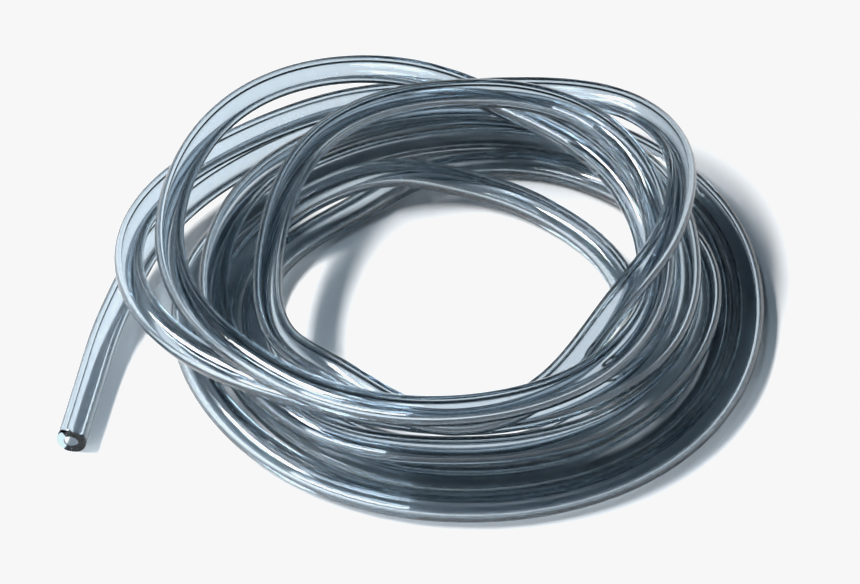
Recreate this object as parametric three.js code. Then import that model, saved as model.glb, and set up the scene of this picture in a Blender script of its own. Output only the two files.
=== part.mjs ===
import * as THREE from 'three';

// A length of clear flexible hose, thrown down in a loose coil. Millimetres, +Z up, the floor at z = 0.
// It is one unbroken piece of tubing, cut square at both ends. Each node is one stretch of it, so that
// every loop of the coil can be handled by itself. The free end's mouth faces -Y, and the origin is on
// the floor under the middle of the coil's bounding box.

const HOSE_OUTER = 12.7;
const HOSE_BORE = 6.35;
const HOSE_RADIUS = HOSE_OUTER / 2;

const JOIN_GAP = 0.3;        // between one stretch and the next
const TURN_GAP = 0.9;        // least clearance between one turn and another
const OUTER_SIDES = 12;
const BORE_SIDES = 8;
const SECTION_STEP = 2;      // route points from one faceted section to the next

// The route starts at the free end. Its stations are given in the coil's own bearings: how far to the
// coil's right (+X), how far to its back (+Y), and how high the underside of the hose is.
const FREE_RUN = [
  [-168.5, -89, 0],
  [-162, -52, 0],
  [-157, -27, 3],
];
const FREE_RUN_SPLITS = 4;

// Then it winds clockwise, seen from above. Each turn passes eight bearings: left, back left, back, back
// right, right, front right, front and front left. out is how far the middle line runs from the coil's
// centre there, and up is how high the underside of the hose is held by the turns below it.
const TURNS = [
  {
    name: 'outer_floor_turn',
    out: [147, 113, 108, 115, 121, 127, 126, 129],
    up: [8, 9, 3, 0, 0, 0, 0, 0],
  },
  {
    name: 'second_floor_turn',
    out: [124, 98, 95, 102, 108, 114, 111, 113],
    up: [0, 0, 0, 0, 0, 0, 0, 0],
  },
  {
    name: 'inner_floor_turn',
    out: [107, 74, 60, 57, 68, 86, 98, 100],
    up: [0, 11, 3, 0, 0, 0, 0, 0],
  },
  {
    name: 'nested_turn',
    out: [93, 69, 76, 89, 104, 107, 106, 114],
    up: [0, 0, 0, 0, 11, 12, 12, 12],
  },
  {
    name: 'leaning_turn',
    out: [112, 106, 96, 98, 94, 98, 93, 117],
    up: [12, 12, 12, 15, 22, 24, 16, 24],
  },
  {
    name: 'right_arch',
    out: [151, 113, 94, 110, 88, 81, 107, 103],
    up: [23, 25, 24, 32, 45, 37, 32, 27],
  },
  {
    name: 'top_arch',
    out: [86, 86, 76, 85, 82, 92, 113, 121],
    up: [30, 38, 44, 38, 30, 35, 47, 40],
  },
  {
    name: 'left_arch',
    out: [131, 126, 86, 80, 79, 82],
    up: [33, 37, 35, 25, 17, 10],
  },
];
const BEARINGS = 8;
const BEARING_SPLITS = 8;
const FIRST_BEARING = Math.PI;
const FAIRING_PASSES = 4;
const PUSH_PASSES = 10;
const PUSH_GAIN = 1.5;
const MOST_ROUNDS = 400;
const NEIGHBOURS = 8;        // points along the hose that are too near to count as another turn
const REACH = 36;            // points farther apart than this can't belong to turns that touch
const PARALLEL = 1e-6;

const clearHose = { color: 0x9fb3c1, roughness: 0.12, metalness: 0 };

const clamp = (v, least, most) => Math.min(Math.max(v, least), most);
const minus = (a, b) => a.map((v, k) => v - b[k]);
const dot = (a, b) => a.reduce((sum, v, k) => sum + v * b[k], 0);
const between = (a, b, share) => a.map((v, k) => v + share * (b[k] - v));

/** A cubic through a list of numbers, at place t counted in entries. */
function cubicThrough(values, t) {
  const i = Math.min(Math.floor(t), values.length - 2);
  const f = t - i;
  const a = values[Math.max(i - 1, 0)];
  const b = values[i];
  const c = values[i + 1];
  const d = values[Math.min(i + 2, values.length - 1)];
  return 0.5 * (2 * b + (c - a) * f + (2 * a - 5 * b + 4 * c - d) * f ** 2 + (3 * b - 3 * c + d - a) * f ** 3);
}

/** The coil's middle line, a point every few degrees of every turn. */
function coilPoints() {
  const out = TURNS.flatMap((turn) => turn.out);
  const up = TURNS.flatMap((turn) => turn.up);
  const points = [];
  for (let k = 0; k <= (out.length - 1) * BEARING_SPLITS; k += 1) {
    const place = k / BEARING_SPLITS;
    const bearing = FIRST_BEARING - (place * 2 * Math.PI) / BEARINGS;
    const radius = cubicThrough(out, place);
    const height = Math.max(cubicThrough(up, place), 0) + HOSE_RADIUS;
    points.push([radius * Math.cos(bearing), radius * Math.sin(bearing), height]);
  }
  return points;
}

/** The free run's middle line, up to the coil's first point. */
function freePoints(first) {
  const stations = [...FREE_RUN.map(([x, y, up]) => [x, y, up + HOSE_RADIUS]), first];
  const columns = first.map((_, k) => stations.map((station) => station[k]));
  const points = [];
  for (let k = 0; k < FREE_RUN.length * FREE_RUN_SPLITS; k += 1) {
    const [x, y, z] = columns.map((column) => cubicThrough(column, k / FREE_RUN_SPLITS));
    points.push([x, y, Math.max(z, HOSE_RADIUS)]);
  }
  return points;
}

/** Averages each entry with its two neighbours, several times over. The two ends stay as they are. */
function averaged(entries, passes) {
  let now = entries;
  for (let pass = 0; pass < passes; pass += 1) {
    const last = now;
    now = last.map((entry, i) => {
      const isEnd = i === 0 || i === last.length - 1;
      return isEnd ? entry : entry.map((v, k) => 0.5 * v + 0.25 * (last[i - 1][k] + last[i + 1][k]));
    });
  }
  return now;
}

/** How far along two segments, each from 0 to 1, the places lie where they come nearest each other. */
function nearestPlaces(from, to, otherFrom, otherTo) {
  const along = minus(to, from);
  const otherAlong = minus(otherTo, otherFrom);
  const offset = minus(from, otherFrom);
  const a = dot(along, along);
  const b = dot(along, otherAlong);
  const c = dot(otherAlong, otherAlong);
  const d = dot(along, offset);
  const e = dot(otherAlong, offset);
  const spread = a * c - b * b;
  const guess = spread > PARALLEL * a * c ? clamp((b * e - c * d) / spread, 0, 1) : 0.5;
  const there = clamp((b * guess + e) / c, 0, 1);
  return [clamp((b * there - d) / a, 0, 1), there];
}

/** Where turns meet they push each other apart, in long gentle humps, until none cuts through another. */
function settled(points) {
  const apart = HOSE_OUTER + TURN_GAP;
  let now = points;
  for (let round = 0; round < MOST_ROUNDS; round += 1) {
    const push = now.map(() => [0, 0, 0]);
    const met = now.map(() => 0);
    for (let i = 0; i + 1 < now.length; i += 1) {
      for (let j = i + NEIGHBOURS; j + 1 < now.length; j += 1) {
        if (Math.hypot(...minus(now[i], now[j])) > REACH) {
          continue;
        }
        const [here, there] = nearestPlaces(now[i], now[i + 1], now[j], now[j + 1]);
        const way = minus(between(now[i], now[i + 1], here), between(now[j], now[j + 1], there));
        const distance = Math.hypot(...way);
        if (distance < apart) {
          const half = (apart - distance) / 2 / distance;
          [[i, 1 - here, half], [i + 1, here, half], [j, 1 - there, -half], [j + 1, there, -half]].forEach(
            ([at, share, size]) => {
              push[at] = push[at].map((v, k) => v + share * size * way[k]);
              met[at] += share;
            },
          );
        }
      }
    }
    if (!met.some((share) => share > 0)) {
      break;
    }
    const shared = push.map((p, i) => p.map((v) => v / Math.max(met[i], 1)));
    const spread = averaged(shared, PUSH_PASSES);
    now = now.map((p, i) => p.map((v, k) => v + PUSH_GAIN * spread[i][k]));
    now.forEach((p) => {
      p[2] = Math.max(p[2], HOSE_RADIUS);
    });
  }
  return now;
}

/** Turns the coil so that the free end's mouth faces -Y, and puts the middle of its box over the origin. */
function placed(points) {
  const [mouth, next] = points;
  const turn = -Math.PI / 2 - Math.atan2(mouth[1] - next[1], mouth[0] - next[0]);
  const upright = new THREE.Vector3(0, 0, 1);
  const turned = points.map((p) => new THREE.Vector3(...p).applyAxisAngle(upright, turn));
  const middle = new THREE.Box3().setFromPoints(turned).getCenter(new THREE.Vector3()).setZ(0);
  return turned.map((p) => p.sub(middle));
}

const coil = coilPoints();
const route = placed(settled(averaged([...freePoints(coil[0]), ...coil], FAIRING_PASSES)));
const tangents = route.map((p, i) => {
  const before = route[Math.max(i - 1, 0)];
  const after = route[Math.min(i + 1, route.length - 1)];
  return after.clone().sub(before).normalize();
});

/** One stretch of the route, whose sections stand level: their first axis lies flat, their second points up. */
class Stretch extends THREE.Curve {
  constructor(from, to) {
    super();
    const places = [];
    for (let i = from; i <= to; i += SECTION_STEP) {
      places.push(i);
    }
    this.tangents = places.map((i) => tangents[i]);
    this.points = places.map((i) => route[i].clone());
    if (from > 0) {
      this.points[0].addScaledVector(tangents[from], JOIN_GAP / 2);
    }
    if (to < route.length - 1) {
      this.points.at(-1).addScaledVector(tangents[to], -JOIN_GAP / 2);
    }
  }

  getSpacedPoints() {
    return this.points;
  }

  computeFrenetFrames() {
    const upright = new THREE.Vector3(0, 0, 1);
    const normals = this.tangents.map((t) => upright.clone().cross(t).normalize());
    const binormals = this.tangents.map((t, i) => t.clone().cross(normals[i]));
    return { tangents: this.tangents, normals, binormals };
  }
}

/** A polygon with flats facing up, down and to the sides, whose flats are radius from the middle. */
function ring(radius, sides) {
  const corner = radius / Math.cos(Math.PI / sides);
  return Array.from({ length: sides }, (_, k) => {
    const angle = ((k + 0.5) * 2 * Math.PI) / sides;
    return new THREE.Vector2(corner * Math.cos(angle), corner * Math.sin(angle));
  });
}

function hoseSection() {
  const section = new THREE.Shape(ring(HOSE_RADIUS, OUTER_SIDES));
  section.holes.push(new THREE.Path(ring(HOSE_BORE / 2, BORE_SIDES)));
  return section;
}

function hoseStretch(name, from, to) {
  const path = new Stretch(from, to);
  const geometry = new THREE.ExtrudeGeometry(hoseSection(), { steps: path.points.length - 1, extrudePath: path });
  const mesh = new THREE.Mesh(geometry, new THREE.MeshStandardMaterial(clearHose));
  mesh.name = name;
  return mesh;
}

// The free run ends at the coil's second bearing, where it slides in under the turns above.
const coilStart = FREE_RUN.length * FREE_RUN_SPLITS;
const turnStart = (turn) => coilStart + turn * BEARINGS * BEARING_SPLITS;
const joins = [
  FREE_RUN_SPLITS,
  coilStart + BEARING_SPLITS,
  ...TURNS.slice(1).map((_, k) => turnStart(k + 1)),
];
const names = ['cut_end', 'free_run', ...TURNS.map((turn) => turn.name)];

const hose = new THREE.Group();
names.forEach((name, k) => {
  const from = k === 0 ? 0 : joins[k - 1];
  const to = k < joins.length ? joins[k] : route.length - 1;
  hose.add(hoseStretch(name, from, to));
});

export default hose;
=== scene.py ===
import math

import bpy
import numpy as np
from mathutils import Matrix, Vector


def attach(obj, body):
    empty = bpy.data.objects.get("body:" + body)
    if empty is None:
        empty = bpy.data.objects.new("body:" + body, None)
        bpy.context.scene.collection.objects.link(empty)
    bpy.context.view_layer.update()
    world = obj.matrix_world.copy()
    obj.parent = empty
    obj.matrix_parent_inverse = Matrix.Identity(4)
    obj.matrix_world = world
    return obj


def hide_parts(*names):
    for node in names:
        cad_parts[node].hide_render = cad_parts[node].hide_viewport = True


# A loose coil of clear thick-walled hose on a pale floor. Metres, +Z up, the floor at z = 0.

HOSE_OUTER = 0.0127
HOSE_BORE = 0.00635
HOSE_RADIUS = HOSE_OUTER / 2
TURN_GAP = 0.0009

# The route's stations, the same as the CAD model's, in the coil's own bearings. The free end's are given as
# how far to the coil's right (+X), how far to its back (+Y), and how high the hose's underside is.
FREE_RUN = [(-0.1685, -0.089, 0), (-0.162, -0.052, 0), (-0.157, -0.027, 0.003)]
FREE_RUN_SPLITS = 4

# Each turn's distance from the coil's centre, and how high its underside is held, at eight bearings:
# left, back left, back, back right, right, front right, front and front left.
TURNS = {
    "outer_floor_turn": (
        (0.147, 0.113, 0.108, 0.115, 0.121, 0.127, 0.126, 0.129),
        (0.008, 0.009, 0.003, 0, 0, 0, 0, 0),
    ),
    "second_floor_turn": (
        (0.124, 0.098, 0.095, 0.102, 0.108, 0.114, 0.111, 0.113),
        (0, 0, 0, 0, 0, 0, 0, 0),
    ),
    "inner_floor_turn": (
        (0.107, 0.074, 0.060, 0.057, 0.068, 0.086, 0.098, 0.100),
        (0, 0.011, 0.003, 0, 0, 0, 0, 0),
    ),
    "nested_turn": (
        (0.093, 0.069, 0.076, 0.089, 0.104, 0.107, 0.106, 0.114),
        (0, 0, 0, 0, 0.011, 0.012, 0.012, 0.012),
    ),
    "leaning_turn": (
        (0.112, 0.106, 0.096, 0.098, 0.094, 0.098, 0.093, 0.117),
        (0.012, 0.012, 0.012, 0.015, 0.022, 0.024, 0.016, 0.024),
    ),
    "right_arch": (
        (0.151, 0.113, 0.094, 0.110, 0.088, 0.081, 0.107, 0.103),
        (0.023, 0.025, 0.024, 0.032, 0.045, 0.037, 0.032, 0.027),
    ),
    "top_arch": (
        (0.086, 0.086, 0.076, 0.085, 0.082, 0.092, 0.113, 0.121),
        (0.030, 0.038, 0.044, 0.038, 0.030, 0.035, 0.047, 0.040),
    ),
    "left_arch": (
        (0.131, 0.126, 0.086, 0.080, 0.079, 0.082),
        (0.033, 0.037, 0.035, 0.025, 0.017, 0.010),
    ),
}
BEARINGS = 8
BEARING_SPLITS = 8
FIRST_BEARING = math.pi
FAIRING_PASSES = 4
PUSH_PASSES = 10
PUSH_GAIN = 1.5
MOST_ROUNDS = 400
NEIGHBOURS = 8  # points along the hose that are too near to count as another turn
REACH = 0.036  # points farther apart than this can't belong to turns that touch
PARALLEL = 1e-6

# The fine surface: rings of points along the hose, outside and inside.
RING_STEP = 0.003
OUTER_SIDES = 32
BORE_SIDES = 20

# The mesh's material slots.
# The third slot is the cut face's left part, painted lighter as lit: painted light.
WALL, CUT, PAINTED_LIT_CUT = range(3)
PAINTED_LIT_SHARE = 0.3  # how much of a cut face's ring is painted lighter as lit, on the left of the free end's mouth

# How the PVC looks. Colours are linear, and a roughness is given as its least and most.
PVC_IOR = 1.53
WALL_TINT = (0.96, 0.98, 1.0, 1)
WALL_ROUGHNESS = (0.03, 0.09)
WALL_PATCHES = 60  # how many patches of unevenness a metre holds
DEPTH_TINT = (0.63, 0.69, 0.725, 1)  # what a clear wall turns with depth
DEPTH_DENSITY = 255
# Painted shade: the cut face's clear tint, much darker than the wall's, for the dark crescent of the cut.
CUT_TINT_AND_PAINTED_SHADE = (0.5, 0.6, 0.68, 1)
CUT_ROUGHNESS = (0.05, 0.3)
CUT_IOR = 1.2  # low, so that a cut face mirrors less of the pale floor than the hose's skin does
# Painted light: the cut face's left part is opaque and lighter, standing in for the light that falls on it
# there.
PAINTED_LIT_COLOUR = (0.3, 0.38, 0.44, 1)
PAINTED_LIT_ROUGHNESS = (0.3, 0.6)
CUT_PATCHES = 900
KNIFE_MARK_DEPTH = 0.0004
KNIFE_MARK_STRENGTH = 0.4
NOISE_DETAIL = 3
NOISE_RANGE = (0.3, 0.7)  # where nearly all of a noise's values lie

# The camera looks along the coil's own +Y, from far off and above.
CAMERA_TARGET = (-0.0175, 0.003, 0)
CAMERA_DISTANCE = 1.7
CAMERA_ELEVATION = math.radians(47)
CAMERA_LENS = 162.5
CAMERA_CLIP = (0.1, 20)
SENSOR_WIDTH = 36

# The studio. The floor is a wide square, and the sky only keeps the darkest places from going black.
FLOOR_HALF = 4
FLOOR_COLOUR = (0.9, 0.9, 0.9, 1)
FLOOR_ROUGHNESS = 0.9
FLOOR_SHINE = 0.1
SKY_COLOUR = (0.5, 0.75, 1, 1)
SKY_STRENGTH = 0.03
WHITEST = 0.93  # the brightest the picture gets, so that the floor comes out a very pale grey

# Each light's bearing and elevation in degrees, in the coil's own bearings, and its power in watts. The key
# is long, so that floor it is partly hidden from stays nearly white. The window is low, at the front left.
LIGHTS = {
    "key": {
        "bearing": 175,
        "elevation": 54,
        "distance": 2.2,
        "size": (1.5, 0.33),
        "power": 88,
        "colour": (1, 1, 1),
    },
    "overhead": {
        "bearing": 200,
        "elevation": 76,
        "distance": 1.8,
        "size": (0.4, 0.3),
        "power": 5.5,
        "colour": (0.65, 0.83, 1),
    },
    "window": {
        "bearing": 234,
        "elevation": 13,
        "distance": 2,
        "size": (1.4, 0.4),
        "power": 55,
        "colour": (0.85, 0.93, 1),
    },
}

# How often light may be passed on or mirrored, enough to see through the whole stack of clear hose.
CLEAR_BOUNCES = 48
GLOSSY_BOUNCES = 12


# --- The hose's route ---


def cubic_through(values, t):
    """A cubic through a list of numbers, at place t counted in entries."""
    i = min(int(t), len(values) - 2)
    f = t - i
    a = values[max(i - 1, 0)]
    b = values[i]
    c = values[i + 1]
    d = values[min(i + 2, len(values) - 1)]
    bend = (2 * a - 5 * b + 4 * c - d) * f**2 + (3 * b - 3 * c + d - a) * f**3
    return 0.5 * (2 * b + (c - a) * f + bend)


def coil_points():
    """The coil's middle line, a point every few degrees of every turn."""
    out = [v for turn in TURNS.values() for v in turn[0]]
    up = [v for turn in TURNS.values() for v in turn[1]]
    points = []
    for k in range((len(out) - 1) * BEARING_SPLITS + 1):
        place = k / BEARING_SPLITS
        bearing = FIRST_BEARING - place * 2 * math.pi / BEARINGS
        radius = cubic_through(out, place)
        height = max(cubic_through(up, place), 0) + HOSE_RADIUS
        points.append((radius * math.cos(bearing), radius * math.sin(bearing), height))
    return points


def free_points(first):
    """The free run's middle line, up to the coil's first point."""
    stations = [(x, y, up + HOSE_RADIUS) for x, y, up in FREE_RUN] + [first]
    columns = list(zip(*stations))
    places = [k / FREE_RUN_SPLITS for k in range(len(FREE_RUN) * FREE_RUN_SPLITS)]
    points = [[cubic_through(column, t) for column in columns] for t in places]
    return [(x, y, max(z, HOSE_RADIUS)) for x, y, z in points]


def averaged(entries, passes):
    """Averages each entry with its two neighbours, several times over. The two ends stay as they are."""
    now = entries.copy()
    for _ in range(passes):
        now[1:-1] = 0.5 * now[1:-1] + 0.25 * (now[:-2] + now[2:])
    return now


def nearest_places(a0, a1, b0, b1):
    """How far along pairs of segments, each from 0 to 1, the places lie where they come nearest each other."""
    along, other = a1 - a0, b1 - b0
    offset = a0 - b0
    a = (along * along).sum(1)
    b = (along * other).sum(1)
    c = (other * other).sum(1)
    d = (along * offset).sum(1)
    e = (other * offset).sum(1)
    spread = a * c - b * b
    crossing = spread > PARALLEL * a * c
    guess = np.where(crossing, np.clip((b * e - c * d) / np.where(crossing, spread, 1), 0, 1), 0.5)
    there = np.clip((b * guess + e) / c, 0, 1)
    return np.clip((b * there - d) / a, 0, 1), there


def settled(points):
    """Where turns meet they push each other apart, in long gentle humps, until none cuts through another."""
    apart = HOSE_OUTER + TURN_GAP
    now = points.copy()
    first, second = np.triu_indices(len(now) - 1, NEIGHBOURS)
    for _ in range(MOST_ROUNDS):
        close = np.linalg.norm(now[first] - now[second], axis=1) <= REACH
        i, j = first[close], second[close]
        here, there = nearest_places(now[i], now[i + 1], now[j], now[j + 1])
        here, there = here[:, None], there[:, None]
        way = now[i] + here * (now[i + 1] - now[i]) - now[j] - there * (now[j + 1] - now[j])
        distance = np.linalg.norm(way, axis=1)
        touching = distance < apart
        if not touching.any():
            break
        i, j, here, there = i[touching], j[touching], here[touching], there[touching]
        half = ((apart - distance[touching]) / 2 / distance[touching])[:, None] * way[touching]
        push = np.zeros_like(now)
        met = np.zeros((len(now), 1))
        for at, share, sign in ((i, 1 - here, 1), (i + 1, here, 1), (j, 1 - there, -1), (j + 1, there, -1)):
            np.add.at(push, at, sign * share * half)
            np.add.at(met, at, share)
        now += PUSH_GAIN * averaged(push / np.maximum(met, 1), PUSH_PASSES)
        now[:, 2] = np.maximum(now[:, 2], HOSE_RADIUS)
    return now


def placing(points):
    """The turn and shift from the coil's own bearings to the frame, where the free end's mouth faces -Y."""
    (mouth_x, mouth_y), (next_x, next_y) = points[0, :2], points[1, :2]
    turn = Matrix.Rotation(-math.pi / 2 - math.atan2(mouth_y - next_y, mouth_x - next_x), 4, "Z")
    turned = np.array([turn @ Vector(p) for p in points])
    middle = (turned.min(0) + turned.max(0)) / 2
    return Matrix.Translation((-middle[0], -middle[1], 0)) @ turn


# --- The hose ---


def smooth_line(points, step):
    """Points about a step apart on one smooth curve through the route's points."""
    legs = np.linalg.norm(np.diff(points, axis=0), axis=1)
    places = []
    for i, leg in enumerate(legs):
        count = max(round(leg / step), 1)
        places.extend(i + k / count for k in range(count))
    places.append(len(points) - 1)
    columns = [points[:, k].tolist() for k in range(3)]
    return np.array([[cubic_through(column, t) for column in columns] for t in places])


def level_frames(line):
    """Each ring's two directions: one lies flat, and the other points up, square to the hose."""
    tangents = np.gradient(line, axis=0)
    tangents /= np.linalg.norm(tangents, axis=1)[:, None]
    flat = np.cross((0, 0, 1), tangents)
    flat /= np.linalg.norm(flat, axis=1)[:, None]
    return flat, np.cross(tangents, flat)


def rings(line, radius, sides):
    """A round ring of points about each point of the line. Its first point is on the left, looking along."""
    flat, up = level_frames(line)
    angles = np.arange(sides) * 2 * math.pi / sides
    around = np.cos(angles)[None, :, None] * flat[:, None] + np.sin(angles)[None, :, None] * up[:, None]
    return line[:, None] + radius * around


def tube_faces(count, sides, start, inward):
    """The quads of a tube of rings, whose points are numbered from start."""
    faces = []
    for i in range(count - 1):
        for k in range(sides):
            a = start + i * sides + k
            b = start + i * sides + (k + 1) % sides
            quad = (a, b, b + sides, a + sides)
            faces.append(quad[::-1] if inward else quad)
    return faces


def cut_face(outer, bore, at_start):
    """The ring-shaped cut across the wall, as triangles between the outer ring's and the bore's points."""
    faces = []
    i, j = 0, 0
    while i < len(outer) or j < len(bore):
        a, b = outer[i % len(outer)], bore[j % len(bore)]
        if j == len(bore) or (i < len(outer) and (i + 0.5) / len(outer) <= (j + 0.5) / len(bore)):
            i += 1
            triangle = (a, b, outer[i % len(outer)])
        else:
            j += 1
            triangle = (a, b, bore[j % len(bore)])
        faces.append(triangle if at_start else triangle[::-1])
    return faces


def cut_slots(count):
    """The material slots of a cut face's triangles: painted lighter as lit at both ends of the list, which
    meet at its left.
    """
    places = [(k + 0.5) / count for k in range(count)]
    return [PAINTED_LIT_CUT if abs(place - 0.5) > 0.5 - PAINTED_LIT_SHARE / 2 else CUT for place in places]


def hose(line, materials):
    """The whole hose as one closed mesh: its outside, its bore and the two cut faces."""
    count = len(line)
    outside = rings(line, HOSE_RADIUS, OUTER_SIDES).reshape(-1, 3)
    inside = rings(line, HOSE_BORE / 2, BORE_SIDES).reshape(-1, 3)
    bore_start = len(outside)
    faces = tube_faces(count, OUTER_SIDES, 0, inward=False)
    faces += tube_faces(count, BORE_SIDES, bore_start, inward=True)
    slots = [WALL] * len(faces)
    for ring, at_start in ((0, True), (count - 1, False)):
        outer = [ring * OUTER_SIDES + k for k in range(OUTER_SIDES)]
        bore = [bore_start + ring * BORE_SIDES + k for k in range(BORE_SIDES)]
        cut = cut_face(outer, bore, at_start)
        faces += cut
        slots += cut_slots(len(cut))
    mesh = bpy.data.meshes.new("hose")
    mesh.from_pydata(np.vstack((outside, inside)).tolist(), [], faces)
    mesh.polygons.foreach_set("use_smooth", [slot == WALL for slot in slots])
    for material in materials:
        mesh.materials.append(material)
    mesh.polygons.foreach_set("material_index", slots)
    mesh.update()
    return add(bpy.data.objects.new("hose", mesh))


# --- Materials ---


def new_material(name, colour):
    material = bpy.data.materials.new(name)
    material.use_nodes = True
    nodes = material.node_tree.nodes
    shader = nodes["Principled BSDF"]
    shader.inputs["Base Color"].default_value = colour
    return material, nodes, material.node_tree.links, shader


def uneven(nodes, links, shader, patches, roughness):
    """Lets the roughness wander between its least and most. Gives back the noise that it follows."""
    place_on_hose = nodes.new("ShaderNodeTexCoord")
    noise = nodes.new("ShaderNodeTexNoise")
    noise.inputs["Scale"].default_value = patches
    noise.inputs["Detail"].default_value = NOISE_DETAIL
    links.new(place_on_hose.outputs["Object"], noise.inputs["Vector"])
    spread = nodes.new("ShaderNodeMapRange")
    sockets = ("From Min", "From Max", "To Min", "To Max")
    for socket, value in zip(sockets, NOISE_RANGE + roughness):
        spread.inputs[socket].default_value = value
    links.new(noise.outputs["Fac"], spread.inputs["Value"])
    links.new(spread.outputs["Result"], shader.inputs["Roughness"])
    return noise.outputs["Fac"]


def knife_marked(nodes, links, shader, roughness):
    """Gives a cut face its uneven roughness and the knife's marks."""
    marks = uneven(nodes, links, shader, CUT_PATCHES, roughness)
    bump = nodes.new("ShaderNodeBump")
    bump.inputs["Strength"].default_value = KNIFE_MARK_STRENGTH
    bump.inputs["Distance"].default_value = KNIFE_MARK_DEPTH
    links.new(marks, bump.inputs["Height"])
    links.new(bump.outputs["Normal"], shader.inputs["Normal"])


def clear_pvc():
    """The wall: glassy vinyl that turns blue-grey with depth, a little hazier in some places than others."""
    material, nodes, links, shader = new_material("clear_pvc", WALL_TINT)
    uneven(nodes, links, shader, WALL_PATCHES, WALL_ROUGHNESS)
    shader.inputs["IOR"].default_value = PVC_IOR
    shader.inputs["Transmission Weight"].default_value = 1
    volume = nodes.new("ShaderNodeVolumeAbsorption")
    volume.inputs["Color"].default_value = DEPTH_TINT
    volume.inputs["Density"].default_value = DEPTH_DENSITY
    links.new(volume.outputs["Volume"], nodes["Material Output"].inputs["Volume"])
    return material


def cut_pvc():
    """The knife cut's darker part, which looks along the dark length of the wall, with its clear tint darkened
    further as painted shade.
    """
    material, nodes, links, shader = new_material("cut_pvc", CUT_TINT_AND_PAINTED_SHADE)
    knife_marked(nodes, links, shader, CUT_ROUGHNESS)
    shader.inputs["IOR"].default_value = CUT_IOR
    shader.inputs["Transmission Weight"].default_value = 1
    return material


def painted_lit_cut_pvc():
    """The knife cut's left part, frosted and opaque, in a lighter colour than the rest of the cut: painted
    light, standing in for the light that falls on that side and makes it nearly white.
    """
    material, nodes, links, shader = new_material("painted_lit_cut_pvc", PAINTED_LIT_COLOUR)
    knife_marked(nodes, links, shader, PAINTED_LIT_ROUGHNESS)
    shader.inputs["IOR"].default_value = PVC_IOR
    return material


def floor_material():
    material, _, _, shader = new_material("pale_floor", FLOOR_COLOUR)
    shader.inputs["Roughness"].default_value = FLOOR_ROUGHNESS
    shader.inputs["Specular IOR Level"].default_value = FLOOR_SHINE
    return material


# --- The stage ---


def add(item):
    """Puts an object in the scene."""
    bpy.context.scene.collection.objects.link(item)
    return item


def camera(place):
    data = bpy.data.cameras.new("camera")
    data.sensor_width = SENSOR_WIDTH
    data.lens = CAMERA_LENS
    data.clip_start, data.clip_end = CAMERA_CLIP
    eye = add(bpy.data.objects.new("camera", data))
    away = Vector((0, -math.cos(CAMERA_ELEVATION), math.sin(CAMERA_ELEVATION)))
    local = Matrix.Translation(Vector(CAMERA_TARGET) + CAMERA_DISTANCE * away)
    tilt = Matrix.Rotation(math.pi / 2 - CAMERA_ELEVATION, 4, "X")
    eye.matrix_world = place @ local @ tilt
    bpy.context.scene.camera = eye


def floor():
    corners = [(x * FLOOR_HALF, y * FLOOR_HALF, 0) for x, y in ((-1, -1), (1, -1), (1, 1), (-1, 1))]
    mesh = bpy.data.meshes.new("floor")
    mesh.from_pydata(corners, [], [(0, 1, 2, 3)])
    mesh.materials.append(floor_material())
    return add(bpy.data.objects.new("floor", mesh))


def softbox(name, place, bearing, elevation, distance, size, power, colour):
    """A rectangular soft light that faces the coil."""
    data = bpy.data.lights.new(name, "AREA")
    data.shape = "RECTANGLE"
    data.size, data.size_y = size
    data.energy = power
    data.color = colour
    lamp = add(bpy.data.objects.new(name, data))
    bearing, elevation = math.radians(bearing), math.radians(elevation)
    level = math.cos(elevation)
    away = Vector((level * math.cos(bearing), level * math.sin(bearing), math.sin(elevation)))
    facing = away.to_track_quat("Z", "Y").to_matrix().to_4x4()
    lamp.matrix_world = place @ Matrix.Translation(distance * away) @ facing


def surroundings():
    world = bpy.data.worlds.new("studio")
    world.use_nodes = True
    background = world.node_tree.nodes["Background"]
    background.inputs["Color"].default_value = SKY_COLOUR
    background.inputs["Strength"].default_value = SKY_STRENGTH
    bpy.context.scene.world = world


def colours():
    """Plain colours, with white brought down to the photo's pale grey."""
    view = bpy.context.scene.view_settings
    view.view_transform = "Standard"
    view.look = "None"
    view.use_curve_mapping = True
    view.curve_mapping.extend = "HORIZONTAL"
    view.curve_mapping.curves[3].points[-1].location = (1, WHITEST)
    view.curve_mapping.update()


def light_paths():
    """Lets light through the stack of hose, and leaves it unclamped where it comes out on the floor."""
    cycles = bpy.context.scene.cycles
    cycles.max_bounces = CLEAR_BOUNCES
    cycles.transmission_bounces = CLEAR_BOUNCES
    cycles.glossy_bounces = GLOSSY_BOUNCES
    cycles.sample_clamp_indirect = 0


# --- The scene ---

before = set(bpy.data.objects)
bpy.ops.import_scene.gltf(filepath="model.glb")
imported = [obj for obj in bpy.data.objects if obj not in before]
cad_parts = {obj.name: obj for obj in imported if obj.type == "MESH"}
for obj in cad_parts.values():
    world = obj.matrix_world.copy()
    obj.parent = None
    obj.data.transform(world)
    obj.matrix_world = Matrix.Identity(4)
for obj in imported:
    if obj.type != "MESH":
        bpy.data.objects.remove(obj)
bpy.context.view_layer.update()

coil = coil_points()
own_route = settled(averaged(np.array(free_points(coil[0]) + coil, float), FAIRING_PASSES))
place = placing(own_route)
route = np.array([place @ Vector(p) for p in own_route])

camera(place)
line = smooth_line(route, RING_STEP)
tube = hose(line, (clear_pvc(), cut_pvc(), painted_lit_cut_pvc()))
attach(tube, "root")
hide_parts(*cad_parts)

floor()
for name, setting in LIGHTS.items():
    softbox(name, place, **setting)
surroundings()
colours()
light_paths()
